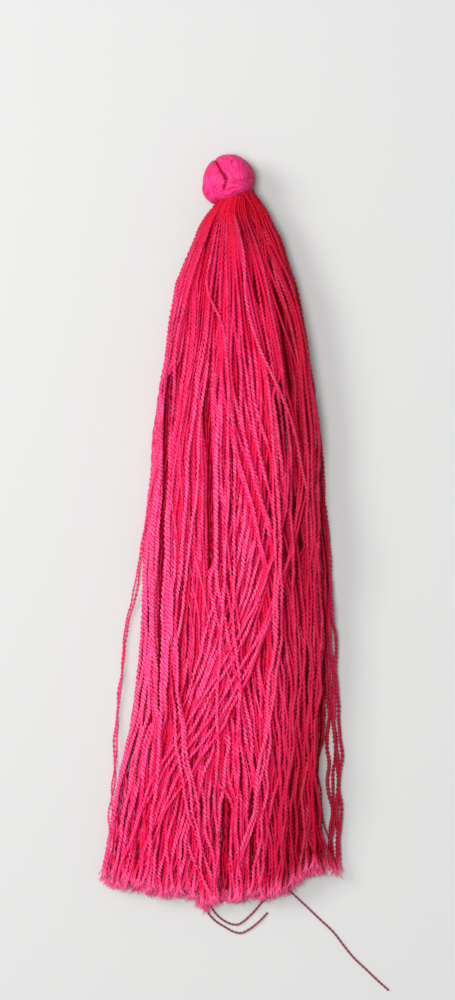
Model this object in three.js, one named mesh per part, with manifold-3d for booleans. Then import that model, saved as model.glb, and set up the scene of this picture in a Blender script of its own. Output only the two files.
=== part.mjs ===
// A long thread tassel lying on its back: a small ball-knot head, a skirt of twisted thread that hangs
// from the tied neck, and the loose ends of the darker thread that ties it.
// Millimetres, +Z up. The tassel lies along Y with its crown towards +Y. The origin is on the surface
// that it lies on, under the middle of the head.

import * as THREE from "three";
import { mergeVertices } from "three/addons/utils/BufferGeometryUtils.js";
import Module from "manifold-3d";

const wasm = await Module();
wasm.setup();

const TURN = 2 * Math.PI;
const SAME_PLACE = 1e-5;

// Space left between two pieces that meet.
const GAP = 0.3;

// Head: a ball of three bands of thread, wound at right angles, each over the next and under the last.
const HEAD = {
  core: 4.05, // radius at the foot of the creases
  crown: 0.5, // rise of a band's middle above its edges
  lift: 0.15, // rise of a band where it passes over another
  bandShare: 0.68, // half a band's width, as a share of the radius
  height: 4.2, // middle of the ball above the surface, so that it rests on a small flat spot
  crownFlat: 4.4, // from the middle to the flat spot at the crown
  neckDrop: 2.5, // from the middle to the neck, square to its plane
  neckTilt: THREE.MathUtils.degToRad(21), // the neck's lower side is on the left
  slices: 44,
  stacks: 30,
};

// The three bands meet at a corner that faces the viewer, and their middles lie around it.
const KNOT_CORNER = new THREE.Vector3(-0.15, 0, 1).normalize();
const KNOT_TURNS = [70, 190, 310].map(THREE.MathUtils.degToRad);
const CORNER_TO_FACE = Math.acos(1 / Math.sqrt(3));

// Neck: the tied bundle of thread under the head.
const NECK = { radius: 3.7, rootRadius: 3.48, depth: 1.3, height: 4.2, y: -4.2, sides: 40 };

// Thread of the skirt, drawn as a triangle on its flat side, and the room that a laid thread takes up.
const THREAD = { width: 0.68, rise: 0.5, pitch: 0.72, layer: 0.6 };

// Cross-sections of the skirt: how far along it is from the neck, how far the threads reach to each side of
// the axis, the size of a thread there as a share of its full one, how far the round bundle has settled into
// a flat heap, how far its threads have fanned out towards the sides, and how strongly and where they gather
// into locks.
const SECTIONS = [
  { along: 0, left: 3.5, right: 3.5, swell: 0.5, settled: 0, fan: 0, gather: 0, sway: 0 },
  { along: 6, left: 6.1, right: 8.6, swell: 0.7, settled: 0.5, fan: 0.1, gather: 0.05, sway: 0.2 },
  { along: 14, left: 9.4, right: 11.7, swell: 0.9, settled: 1, fan: 0.2, gather: 0.15, sway: 0.6 },
  { along: 32, left: 12.3, right: 15.0, swell: 1, settled: 1, fan: 0.3, gather: 0.3, sway: 1.4 },
  { along: 54, left: 14.6, right: 16.2, swell: 1, settled: 1, fan: 0.35, gather: 0.35, sway: 2.3 },
  { along: 77, left: 16.8, right: 17.4, swell: 1, settled: 1, fan: 0.35, gather: 0.35, sway: 3.2 },
  { along: 101, left: 19.4, right: 15.4, swell: 1, settled: 1, fan: 0.35, gather: 0.3, sway: 4.0 },
  { along: 126, left: 24.4, right: 17.6, swell: 0.9, settled: 1, fan: 0.3, gather: 0.3, sway: 4.6 },
];

// The cut hem: how far from the neck the threads reach, across the skirt.
const HEM = [
  { across: -23.4, reach: 119.4 },
  { across: -18.0, reach: 121.4 },
  { across: -9.0, reach: 121.8 },
  { across: -4.4, reach: 124.0 },
  { across: 4.0, reach: 122.4 },
  { across: 11.5, reach: 119.8 },
  { across: 15.0, reach: 117.6 },
  { across: 19.6, reach: 119.0 },
];
const HEM_UNEVEN = 0.9;

// The main bundle, and how its threads wander from a straight fall.
const BED = { threads: 150, locks: 6, layerShift: 0.8, wander: 0.2, waveLength: 80, calmAbove: 30 };

// Loose threads that lie on the bundle or stray from its sides: how many there are, the place of their
// middle one at the neck as a share of the bundle, its place at the hem in millimetres, where along the
// skirt they cross over, and how far apart the outer ones end.
const LOOSE = [
  { threads: 9, neck: 0.38, hem: -11.5, start: 44, end: 122, spread: 7.5 },
  { threads: 4, neck: -0.12, hem: 5.5, start: 58, end: 112, spread: 4 },
  { threads: 1, neck: 0.05, hem: 12.5, start: 6, end: 60, spread: 0 },
  { threads: 1, neck: -0.34, hem: -1.5, start: 6, end: 34, spread: 0 },
  { threads: 4, neck: 0.86, hem: 18.6, start: 24, end: 96, spread: 2.0 },
  { threads: 2, neck: -0.9, hem: -20.2, start: 54, end: 114, spread: 1.6 },
];
const LOOSE_STEP = 0.07; // from one to the next at the neck, as a share of the bundle

// Ends of the tying thread, on the surface: they run straight from under the skirt to its hem, between two
// places across it, and lie free from there.
const TIE = { diameter: 0.45, sides: 8, stepDiameters: 2, from: 103, to: 120, hiddenSteps: 5 };
const TIE_ENDS = [
  {
    name: "tie_end_long",
    across: [6.9, 9.9],
    free: [
      [10.6, -125.2], [11.9, -126.5], [13.7, -128.2], [16.0, -130.4], [18.6, -132.9], [20.2, -135.0],
      [21.9, -137.1], [24.1, -139.2], [26.3, -141.3], [28.2, -143.0],
    ],
  },
  {
    name: "tie_end_hook",
    across: [-5.5, -4.9],
    free: [
      [-4.7, -126.4], [-4.0, -128.8], [-2.7, -130.5], [-0.6, -131.9], [0.9, -132.7], [2.1, -132.9],
      [3.3, -132.4], [4.7, -131.4], [5.8, -130.4], [6.8, -129.3],
    ],
  },
  {
    name: "tie_end_bend",
    across: [-4.6, -4.0],
    free: [
      [-3.8, -126.2], [-3.2, -128.1], [-2.3, -129.5], [-0.9, -130.7], [0.4, -131.3], [1.5, -131.4],
      [2.6, -130.8], [3.6, -129.9], [4.7, -128.8], [5.8, -127.5], [6.9, -126.4],
    ],
  },
];

const FINISHES = {
  head: { color: 0xe62a7c, roughness: 0.45, metalness: 0 },
  skirt: { color: 0xd81b55, roughness: 0.5, metalness: 0 },
  tie: { color: 0x6e1530, roughness: 0.6, metalness: 0 },
};

// An even scatter from -1 to 1 that is the same each time.
const scatter = (index, root) => 2 * ((index * Math.sqrt(root)) % 1) - 1;

// The value of a table's column at a place along another column.
function valueAt(table, key, place, column) {
  const next = table.findIndex((row) => row[key] >= place);
  if (next < 0) return table[table.length - 1][column];
  if (next === 0) return table[0][column];
  const [low, high] = [table[next - 1], table[next]];
  const share = (place - low[key]) / (high[key] - low[key]);
  return THREE.MathUtils.lerp(low[column], high[column], share);
}

// A geometry with only its places, and each shared corner once.
function plain(geometry) {
  geometry.deleteAttribute("normal");
  geometry.deleteAttribute("uv");
  return mergeVertices(geometry, SAME_PLACE);
}

function solidOf(geometry) {
  const { position } = geometry.attributes;
  const mesh = new wasm.Mesh({
    numProp: 3,
    vertProperties: position.array,
    triVerts: new Uint32Array(geometry.index.array),
  });
  return new wasm.Manifold(mesh);
}

function geometryOf(solid) {
  const { vertProperties, triVerts } = solid.getMesh();
  return new THREE.BufferGeometry()
    .setAttribute("position", new THREE.BufferAttribute(vertProperties, 3))
    .setIndex(new THREE.BufferAttribute(triVerts, 1));
}

// Moves each corner of a geometry to where place(corner) puts it.
function reshape(geometry, place) {
  const { position } = geometry.attributes;
  const corner = new THREE.Vector3();
  for (let i = 0; i < position.count; i += 1) {
    corner.fromBufferAttribute(position, i);
    position.setXYZ(i, ...place(corner).toArray());
  }
  return geometry;
}

// The neck's plane, square to this direction, and its height over a place across the tassel.
const neckNormal = new THREE.Vector3(-Math.sin(HEAD.neckTilt), Math.cos(HEAD.neckTilt), 0);
const neckMiddle = neckNormal.clone().multiplyScalar(-HEAD.neckDrop);
const neckEdgeAt = (across) => (across * Math.sin(HEAD.neckTilt) - HEAD.neckDrop) / Math.cos(HEAD.neckTilt);

// The directions of the three bands' faces around the knot's corner.
function knotAxes() {
  const right = new THREE.Vector3(1, 0, 0).projectOnPlane(KNOT_CORNER).normalize();
  const up = new THREE.Vector3().crossVectors(KNOT_CORNER, right);
  return KNOT_TURNS.map((turn) =>
    new THREE.Vector3()
      .addScaledVector(KNOT_CORNER, Math.cos(CORNER_TO_FACE))
      .addScaledVector(right, Math.sin(CORNER_TO_FACE) * Math.cos(turn))
      .addScaledVector(up, Math.sin(CORNER_TO_FACE) * Math.sin(turn)),
  );
}

// How far the knot's surface is from its middle: the highest of the three bands.
function knotRadius(direction, axes) {
  const shares = axes.map((axis) => direction.dot(axis));
  const rises = shares.map((share, band) => {
    const across = share / HEAD.bandShare;
    if (Math.abs(across) >= 1) return 0;
    const over = shares[(band + 2) % 3] ** 2;
    const under = shares[(band + 1) % 3] ** 2;
    return HEAD.crown * Math.sqrt(1 - across ** 2) + (HEAD.lift * (over - under)) / (over + under);
  });
  return HEAD.core + Math.max(0, ...rises);
}

// The ball knot, flat where it rests, at the crown where it is sewn on and at the neck.
function headGeometry() {
  const axes = knotAxes();
  const ball = plain(new THREE.SphereGeometry(1, HEAD.slices, HEAD.stacks));
  return reshape(ball, (corner) => {
    const direction = corner.clone().normalize();
    const place = direction.clone().multiplyScalar(knotRadius(direction, axes));
    const pastNeck = -HEAD.neckDrop - place.dot(neckNormal);
    if (pastNeck > 0) place.addScaledVector(neckNormal, pastNeck);
    place.y = Math.min(place.y, HEAD.crownFlat);
    place.z = Math.max(place.z + HEAD.height, 0);
    return place;
  });
}

// Threads of the main bundle, evenly packed at the neck, the lowest first.
function bedThreads() {
  const goldenAngle = Math.PI * (3 - Math.sqrt(5));
  return Array.from({ length: BED.threads }, (_, index) => {
    const reach = Math.sqrt((index + 0.5) / BED.threads);
    const share = reach * Math.cos(index * goldenAngle);
    const up = reach * Math.sin(index * goldenAngle);
    const path = SECTIONS.map((section) => {
      const turns = BED.locks * TURN;
      const fanned = share * (1 + section.fan * (1 - share ** 2));
      const pull = Math.sin(turns * fanned + section.sway + BED.layerShift * up) / turns;
      const gathered = fanned + section.gather * pull;
      const wave = Math.sin((TURN * section.along) / BED.waveLength + TURN * scatter(index, 2));
      const calm = Math.min(1, section.along / BED.calmAbove);
      return gathered * (share < 0 ? section.left : section.right) + calm * BED.wander * wave;
    });
    return { share, up, path };
  }).sort((a, b) => a.up - b.up);
}

// Loose threads, laid last, each crossing from its place in the bundle to its place at the hem.
function looseThreads() {
  return LOOSE.flatMap((row) =>
    Array.from({ length: row.threads }, (_, index) => {
      const seat = index - (row.threads - 1) / 2;
      const share = row.neck + seat * LOOSE_STEP;
      const up = Math.sqrt(1 - Math.min(1, share ** 2));
      const hem = row.hem + (seat * row.spread) / row.threads;
      const path = SECTIONS.map((section) => {
        const fallen = share * (share < 0 ? section.left : section.right);
        return THREE.MathUtils.lerp(fallen, hem, THREE.MathUtils.smoothstep(section.along, row.start, row.end));
      });
      return { share, up, path };
    }),
  );
}

// The least sideways distance between two paths, from half a step before a section to half a step after it.
function nearestAcross(pathA, pathB, at) {
  const here = pathA[at] - pathB[at];
  if (Number.isNaN(here)) return Infinity;
  const apart = [at - 1, at, at + 1].map((i) => pathA[i] - pathB[i]).filter((d) => !Number.isNaN(d));
  if (Math.min(...apart) * Math.max(...apart) <= 0) return 0;
  return Math.min(...apart.map((d) => Math.abs(d + here) / 2));
}

// Lays the threads one after another: each rests on the surface or on those already laid.
function lay(threads, tieEnds) {
  threads.forEach((thread, order) => {
    thread.heights = SECTIONS.map((section, at) => {
      let height = (THREAD.layer / 2) * section.swell;
      const restOn = (path, level, pitch, layer) => {
        const across = nearestAcross(thread.path, path, at) / pitch;
        if (across < 1) height = Math.max(height, level + layer * Math.sqrt(1 - across ** 2));
      };
      threads.slice(0, order).forEach((other) => {
        restOn(other.path, other.heights[at], THREAD.pitch * section.swell, THREAD.layer * section.swell);
      });
      tieEnds.forEach((path) => restOn(path, TIE.diameter / 2, THREAD.pitch + GAP, THREAD.layer + GAP));
      return height;
    });
  });
  return threads;
}

// A tying end's place across the skirt, at a distance along it.
function tieAcross(end, along) {
  return THREE.MathUtils.mapLinear(along, TIE.from, TIE.to, ...end.across);
}

// The same at each section, but for those that it doesn't come near.
function tiePath(end) {
  const first = SECTIONS.findLastIndex((section) => section.along <= TIE.from);
  return SECTIONS.map((section, at) => (at < first ? NaN : tieAcross(end, section.along)));
}

// The middle of a thread at each section, from the neck to its own cut end.
function threadPoints(thread, order) {
  const roots = new THREE.Vector3(
    neckMiddle.x + NECK.rootRadius * thread.share * Math.cos(HEAD.neckTilt),
    0,
    NECK.height + NECK.rootRadius * thread.up,
  );
  roots.y = neckEdgeAt(roots.x) - GAP - NECK.depth / 2;
  const points = SECTIONS.map((section, at) => {
    const settled = THREE.MathUtils.lerp(roots.z, thread.heights[at], section.settled);
    return { place: new THREE.Vector3(thread.path[at], NECK.y - section.along, settled), swell: section.swell };
  });
  points[0].place.copy(roots);

  const [before, last] = points.slice(-2);
  const cut = valueAt(HEM, "across", last.place.x, "reach") + HEM_UNEVEN * scatter(order, 3);
  const share = (NECK.y - cut - before.place.y) / (last.place.y - before.place.y);
  last.place.lerpVectors(before.place, last.place, share);
  last.swell = THREE.MathUtils.lerp(before.swell, last.swell, share);
  return points;
}

// A thread as a three-sided bar through its points, with its flat side down. A corner of the unit triangle is
// between -0.5 and 1 in height and between the sines of its turns in width.
function threadSolid(thread, order) {
  const points = threadPoints(thread, order);
  const steps = points.length - 1;
  const bar = plain(new THREE.CylinderGeometry(1, 1, 1, 3, steps));
  const widthShare = THREAD.width / 2 / Math.sin(TURN / 3);
  const heightShare = THREAD.rise / 1.5;
  return solidOf(
    reshape(bar, (corner) => {
      const { place, swell } = points[Math.round((0.5 - corner.y) * steps)];
      const across = corner.x * widthShare;
      const up = (corner.z + 0.5) * heightShare - THREAD.layer / 2;
      return new THREE.Vector3(place.x + across * swell, place.y, place.z + up * swell);
    }),
  );
}

// The tied bundle that the threads' roots are fused into, under the head and tilted as its edge is.
function neckSolid() {
  const disc = plain(new THREE.CylinderGeometry(NECK.radius, NECK.radius, NECK.depth, NECK.sides));
  disc.rotateZ(HEAD.neckTilt);
  const centre = neckMiddle.clone().addScaledVector(neckNormal, -GAP - NECK.depth / 2);
  disc.translate(centre.x, centre.y, NECK.height);
  return solidOf(disc);
}

function skirtGeometry() {
  const threads = lay([...bedThreads(), ...looseThreads()], TIE_ENDS.map(tiePath));
  return geometryOf(threads.map(threadSolid).reduce((skirt, thread) => skirt.add(thread), neckSolid()));
}

function tieGeometry(end) {
  const radius = TIE.diameter / 2;
  const hidden = Array.from({ length: TIE.hiddenSteps + 1 }, (_, step) => {
    const along = THREE.MathUtils.lerp(TIE.from, TIE.to, step / TIE.hiddenSteps);
    return [tieAcross(end, along), NECK.y - along];
  });
  const points = [...hidden, ...end.free].map(([x, y]) => new THREE.Vector3(x, y, radius));
  const route = new THREE.CatmullRomCurve3(points);
  const corners = Array.from({ length: TIE.sides }, (_, side) => {
    const turn = (TURN * side) / TIE.sides;
    return new THREE.Vector2(radius * Math.cos(turn), radius * Math.sin(turn));
  });
  return new THREE.ExtrudeGeometry(new THREE.Shape(corners), {
    extrudePath: route,
    steps: Math.round(route.getLength() / (TIE.stepDiameters * TIE.diameter)),
    bevelEnabled: false,
  });
}

function piece(name, geometry, finish) {
  const mesh = new THREE.Mesh(geometry, new THREE.MeshStandardMaterial({ ...finish, flatShading: true }));
  mesh.name = name;
  return mesh;
}

const tassel = new THREE.Group();
tassel.add(piece("head", headGeometry(), FINISHES.head));
tassel.add(piece("skirt", skirtGeometry(), FINISHES.skirt));
TIE_ENDS.forEach((end) => {
  tassel.add(piece(end.name, tieGeometry(end), FINISHES.tie));
});

export default tassel;
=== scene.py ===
"""Dresses a long thread tassel that lies flat on a pale surface.

The tassel has a ball-knot head of satin floss, a skirt of two-ply twisted thread and three ends of the thin
dark thread that ties its neck. Sizes are in millimetres and turn to metres where a mesh is made.
"""

import logging
import math
from collections.abc import Iterator
from dataclasses import dataclass, field, replace
from enum import Enum

import bmesh
import bpy
import numpy as np
from bpy.types import ID, Material, Mesh, Node, NodeSocket, NodeTree, Object
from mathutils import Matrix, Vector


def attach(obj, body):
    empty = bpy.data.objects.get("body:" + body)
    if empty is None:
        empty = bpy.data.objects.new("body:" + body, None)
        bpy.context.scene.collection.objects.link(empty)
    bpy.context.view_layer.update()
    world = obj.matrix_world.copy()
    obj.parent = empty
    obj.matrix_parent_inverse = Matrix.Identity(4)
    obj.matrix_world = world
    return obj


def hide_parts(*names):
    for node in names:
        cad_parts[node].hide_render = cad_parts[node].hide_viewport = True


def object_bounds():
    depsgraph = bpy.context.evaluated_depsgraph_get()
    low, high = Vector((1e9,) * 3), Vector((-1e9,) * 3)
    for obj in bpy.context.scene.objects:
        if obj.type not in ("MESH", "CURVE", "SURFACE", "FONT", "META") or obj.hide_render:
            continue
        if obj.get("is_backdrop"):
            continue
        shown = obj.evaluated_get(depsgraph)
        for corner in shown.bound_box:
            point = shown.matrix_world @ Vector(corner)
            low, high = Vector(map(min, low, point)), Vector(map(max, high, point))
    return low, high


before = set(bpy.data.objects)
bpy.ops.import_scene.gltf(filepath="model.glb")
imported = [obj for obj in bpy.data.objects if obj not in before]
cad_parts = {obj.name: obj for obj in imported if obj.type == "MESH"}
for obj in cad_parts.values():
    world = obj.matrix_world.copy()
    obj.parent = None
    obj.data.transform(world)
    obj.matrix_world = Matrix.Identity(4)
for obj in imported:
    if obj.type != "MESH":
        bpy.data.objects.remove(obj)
CAD_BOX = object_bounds()

MM = 0.001
TAU = math.tau
GOLDEN_ANGLE = math.pi * (3 - math.sqrt(5))
NECK_Y = -4.2  # where the neck is, along the tassel
BAKE_MAP = "OFBake"
THREAD_MAP = "thread_mm"
MIX_FROM, MIX_TO, MIX_RESULT = 6, 7, 2  # sockets of a Mix node that mixes colours

log = logging.getLogger("tassel")

Array = np.ndarray
Pair = tuple[float, float]
Triple = tuple[float, float, float]
Colour = tuple[float, float, float, float]


class Hand(Enum):
    """Which way a thread is twisted."""

    S = -1
    Z = 1


def linear(hex_colour: str) -> Colour:
    """Turns an sRGB colour to the linear one that the shaders use.

    Args:
        hex_colour: A colour such as "#E0305A".

    Returns:
        Red, green, blue and an alpha of 1.
    """
    parts = [int(hex_colour[i : i + 2], 16) / 255 for i in (1, 3, 5)]
    red, green, blue = (c / 12.92 if c <= 0.04045 else ((c + 0.055) / 1.055) ** 2.4 for c in parts)
    return red, green, blue, 1.0


def add_node(
    tree: NodeTree,
    kind: str,
    settings: dict[str, object] | None = None,
    inputs: dict[str | int, object] | None = None,
) -> Node:
    """Adds a node to a material.

    Args:
        tree: The material's node tree.
        kind: The node's type.
        settings: The node's own properties by name.
        inputs: Values for its sockets, or the output sockets that feed them.

    Returns:
        The new node.
    """
    node = tree.nodes.new(kind)
    for name, value in (settings or {}).items():
        setattr(node, name, value)
    for socket, value in (inputs or {}).items():
        if isinstance(value, NodeSocket):
            tree.links.new(value, node.inputs[socket])
        else:
            node.inputs[socket].default_value = value
    return node


def new_material(name: str) -> tuple[Material, NodeTree, Node]:
    """Starts a material.

    Args:
        name: The material's name.

    Returns:
        The material, its node tree and its surface shader.
    """
    material = bpy.data.materials.new(name)
    material.use_nodes = True
    return material, material.node_tree, material.node_tree.nodes["Principled BSDF"]


def put(name: str, data: ID) -> Object:
    """Puts an object in the scene, at the origin.

    Args:
        name: The object's name.
        data: Its mesh, camera or light.

    Returns:
        The new object.
    """
    thing = bpy.data.objects.new(name, data)
    bpy.context.collection.objects.link(thing)
    return thing


def write_mark(mesh: Mesh, name: str, values: Array) -> None:
    """Gives each corner of a mesh a number or a vector that its material reads.

    Args:
        mesh: The mesh.
        name: The mark's name.
        values: One number or one row for each corner.
    """
    kind, key = ("FLOAT", "value") if values.ndim == 1 else ("FLOAT_VECTOR", "vector")
    mesh.attributes.new(name, kind, "POINT").data.foreach_set(key, values.astype(np.float32).ravel())


def step_lengths(line: Array) -> Array:
    """The distance from each point of a line to the next."""
    return np.linalg.norm(np.diff(line, axis=0), axis=1)


def scatter(index: int, root: int) -> float:
    """An even scatter from -1 to 1 that is the same each time, one for each root."""
    return 2 * ((index * math.sqrt(root)) % 1) - 1


def smoothstep(place: Array, start: float, end: float) -> Array:
    """Rises smoothly from 0 at start to 1 at end, or falls where start is past end."""
    share = np.clip((place - start) / (end - start), 0, 1)
    return share * share * (3 - 2 * share)


def smooth_through(knots: Array, values: Array, places: Array) -> Array:
    """Follows a smooth curve through values that are given at uneven places.

    Args:
        knots: Where the values are, rising.
        values: One row for each knot.
        places: Where the curve is wanted.

    Returns:
        One row for each place.
    """
    slopes = np.gradient(values, knots, axis=0)
    low = np.clip(np.searchsorted(knots, places) - 1, 0, len(knots) - 2)
    step = (knots[low + 1] - knots[low])[:, None]
    t = (places[:, None] - knots[low][:, None]) / step
    from_value = (1 + 2 * t) * (1 - t) ** 2 * values[low] + t * t * (3 - 2 * t) * values[low + 1]
    from_slope = t * (1 - t) ** 2 * slopes[low] - t * t * (1 - t) * slopes[low + 1]
    return from_value + step * from_slope


@dataclass(frozen=True)
class Grain:
    """Fibres or tooth in a surface, which stand out from it a little."""

    width: float  # of one fibre
    along: float  # how fine it is along the thread, as a share of how fine it is across
    detail: float
    roughness: float
    strength: float  # how strongly it shows
    depth: float

    def add(self, tree: NodeTree, place: NodeSocket) -> NodeSocket:
        """Adds the grain to a material and turns its surface by it.

        Args:
            tree: The material's node tree.
            place: Where on the surface each point is.

        Returns:
            The grain's height.
        """
        scale = (1 / self.width, self.along / self.width, 1)
        stretched = add_node(tree, "ShaderNodeMapping", inputs={"Vector": place, "Scale": scale})
        noise = {"Scale": 1.0, "Detail": self.detail, "Roughness": self.roughness}
        grain = add_node(tree, "ShaderNodeTexNoise", inputs={"Vector": stretched.outputs["Vector"], **noise})
        relief = {"Strength": self.strength, "Distance": self.depth * MM}
        bump = add_node(tree, "ShaderNodeBump", inputs={"Height": grain.outputs["Fac"], **relief})
        tree.links.new(bump.outputs["Normal"], tree.nodes["Principled BSDF"].inputs["Normal"])
        return grain.outputs["Fac"]


@dataclass(frozen=True)
class SkirtThread:
    """Two-ply viscose rayon thread, spun and twisted: a soft gloss on each turn, with painted light and
    shade: lighter where it lies free, deeper under other threads and away from the light, and painted red
    light in its grooves and gaps.
    """

    name: str = "twisted_viscose_rayon_thread"
    hot: str = "#EA6AA6"  # the lighter colour, on free threads: painted light
    mid: str = "#C83072"
    deep: str = "#DA0832"  # the deeper colour, on threads under others: painted shade
    mid_share: float = 0.32  # place of the middle colour between the two
    groove: str = "#F60A3C"  # red light from the threads around fills the grooves and gaps
    shade: str = "#B09C8A"  # what is left of the colour on the side away from the light
    tip: str = "#FF6094"  # light goes through the filaments of a cut end
    gloss: str = "#FF8CA0"
    gloss_level: float = 0.15
    roughness: float = 0.38
    fibres: Grain = Grain(width=0.12, along=0.1, detail=2.0, roughness=0.6, strength=0.35, depth=0.03)

    def material(self) -> Material:
        """Builds the material, which reads each thread's tint, groove, shade and fray: painted light and
        shade with the thread's own tone, painted red light in its grooves, painted shade, and its pale cut
        end.

        Returns:
            The new material.
        """
        material, tree, shader = new_material(self.name)
        marks = {
            mark: add_node(tree, "ShaderNodeAttribute", {"attribute_name": mark}).outputs["Fac"]
            for mark in ("tint", "groove", "shade", "fray")
        }
        toned_and_shaded = add_node(tree, "ShaderNodeValToRGB", inputs={"Fac": marks["tint"]})
        toned_and_shaded.color_ramp.elements[0].color = linear(self.deep)
        toned_and_shaded.color_ramp.elements[1].color = linear(self.hot)
        toned_and_shaded.color_ramp.elements.new(self.mid_share).color = linear(self.mid)
        colour = toned_and_shaded.outputs["Color"]
        # painted red light in the grooves and gaps, painted shade away from the light, and the pale cut ends
        for mark, how, other in (
            ("groove", "MIX", self.groove),
            ("shade", "MULTIPLY", self.shade),
            ("fray", "MIX", self.tip),
        ):
            mix = add_node(
                tree,
                "ShaderNodeMix",
                {"data_type": "RGBA", "blend_type": how},
                {"Factor": marks[mark], MIX_FROM: colour, MIX_TO: linear(other)},
            )
            colour = mix.outputs[MIX_RESULT]
        place = add_node(tree, "ShaderNodeUVMap", {"uv_map": THREAD_MAP})
        self.fibres.add(tree, place.outputs["UV"])
        tree.links.new(colour, shader.inputs["Base Color"])
        shader.inputs["Roughness"].default_value = self.roughness
        shader.inputs["Specular IOR Level"].default_value = self.gloss_level
        shader.inputs["Specular Tint"].default_value = linear(self.gloss)
        return material


@dataclass(frozen=True)
class HeadFloss:
    """Satin viscose floss, barely twisted: long smooth filaments with a silky gloss along each band."""

    name: str = "satin_viscose_floss"
    light: str = "#E0367C"
    dark: str = "#AE0A46"
    # painted shade in seams and the fold, and on the sides away from the light
    painted_shade: str = "#94042E"
    roughness: float = 0.5
    gloss_level: float = 0.12
    streaks: Grain = Grain(width=0.3, along=0.22, detail=3.0, roughness=0.55, strength=0.4, depth=0.04)
    heights: Pair = (0.32, 0.62)  # of the streaks that are dark and light

    def material(self) -> Material:
        """Builds the material, whose streaks run along each band.

        Returns:
            The new material.
        """
        material, tree, shader = new_material(self.name)
        place = add_node(tree, "ShaderNodeAttribute", {"attribute_name": "wound"})
        # painted shade in the seams, the fold and its shadow, and on the sides away from the light
        painted_shade = add_node(tree, "ShaderNodeAttribute", {"attribute_name": "painted_shade"})
        height = self.streaks.add(tree, place.outputs["Vector"])
        low, high = self.heights
        spread = add_node(
            tree, "ShaderNodeMapRange", inputs={"Value": height, "From Min": low, "From Max": high}
        )
        colour = linear(self.dark)
        for share, other in ((spread.outputs["Result"], self.light), (painted_shade.outputs["Fac"], self.painted_shade)):
            mix = add_node(
                tree,
                "ShaderNodeMix",
                {"data_type": "RGBA"},
                {"Factor": share, MIX_FROM: colour, MIX_TO: linear(other)},
            )
            colour = mix.outputs[MIX_RESULT]
        tree.links.new(colour, shader.inputs["Base Color"])
        shader.inputs["Roughness"].default_value = self.roughness
        shader.inputs["Specular IOR Level"].default_value = self.gloss_level
        return material


@dataclass(frozen=True)
class TieThread:
    """Thin two-ply cotton sewing thread, dyed dark wine red: matt, with darker grooves between the plies."""

    name: str = "twisted_cotton_tying_thread"
    ply: str = "#93244A"
    groove: str = "#540E28"
    roughness: float = 0.62
    sheen: float = 0.2

    def material(self) -> Material:
        """Builds the material, which reads the thread's grooves.

        Returns:
            The new material.
        """
        material, tree, shader = new_material(self.name)
        groove = add_node(tree, "ShaderNodeAttribute", {"attribute_name": "groove"})
        shaded = add_node(
            tree,
            "ShaderNodeMix",
            {"data_type": "RGBA"},
            {"Factor": groove.outputs["Fac"], MIX_FROM: linear(self.ply), MIX_TO: linear(self.groove)},
        )
        tree.links.new(shaded.outputs[MIX_RESULT], shader.inputs["Base Color"])
        shader.inputs["Roughness"].default_value = self.roughness
        shader.inputs["Sheen Weight"].default_value = self.sheen
        return material


@dataclass(frozen=True)
class FloorPaint:
    """Matt floor paint: pale and plain, with the faintest tooth, which reads the floor's places in metres."""

    name: str = "matt_floor_paint"
    paint: str = "#B4B4B3"
    roughness: float = 0.85
    tooth: Grain = Grain(width=0.8 * MM, along=1.0, detail=3.0, roughness=0.5, strength=0.1, depth=0.05)

    def material(self) -> Material:
        """Builds the material.

        Returns:
            The new material.
        """
        material, tree, shader = new_material(self.name)
        place = add_node(tree, "ShaderNodeTexCoord")
        self.tooth.add(tree, place.outputs["Object"])
        shader.inputs["Base Color"].default_value = linear(self.paint)
        shader.inputs["Roughness"].default_value = self.roughness
        return material


@dataclass(frozen=True)
class Twist:
    """A two-ply thread's section and how it turns along the thread."""

    width: float  # across both plies
    waist: float  # across the groove, as a share of the width
    turn: float  # length of one full turn
    hand: Hand = Hand.Z
    sides: int = 6
    steps: int = 6  # rings for each turn
    slack: float = 0.0  # how far the plies turn ahead and behind along the thread, as an angle
    slack_turns: float = 6.5  # turns from one slack stretch to the next
    slack_shift: float = 3.0  # how far the stretches move for a thread that starts one turn on

    @property
    def ring_step(self) -> float:
        """The distance from one ring to the next."""
        return self.turn / self.steps

    def sweep(self, spine: Array, swell: Array, start_turn: float) -> Array:
        """Sweeps the section along a line.

        Args:
            spine: The middle of each ring.
            swell: The thread's size at each ring, as a share of its full one.
            start_turn: How far it is turned at its first ring, in turns.

        Returns:
            The rings' corners, as an array of rings, sides and places.
        """
        ahead = np.gradient(spine, axis=0)
        ahead /= np.linalg.norm(ahead, axis=1, keepdims=True)
        side = np.cross(ahead, (0, 0, 1))
        side /= np.linalg.norm(side, axis=1, keepdims=True)
        up = np.cross(side, ahead)
        run = np.concatenate([[0], np.cumsum(step_lengths(spine))])
        turned = TAU * (start_turn + self.hand.value * run / self.turn)
        stretch = run / (self.slack_turns * self.turn) + self.slack_shift * start_turn
        turned += self.slack * np.sin(TAU * stretch)
        around = TAU * np.arange(self.sides) / self.sides
        angle = turned[:, None] + around
        radius = swell[:, None] * self.profile(around)
        across = (radius * np.cos(angle))[..., None] * side[:, None, :]
        return spine[:, None, :] + across + (radius * np.sin(angle))[..., None] * up[:, None, :]

    def profile(self, around: Array) -> Array:
        """The section's radius at each angle around it."""
        mean = (1 + self.waist) / 2
        return self.width / 2 * (mean + (1 - mean) * np.cos(2 * around))

    def grooves(self) -> Array:
        """How deep each side lies in the groove between the plies, from 0 to 1."""
        return (1 - np.cos(2 * TAU * np.arange(self.sides) / self.sides)) / 2


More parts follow.
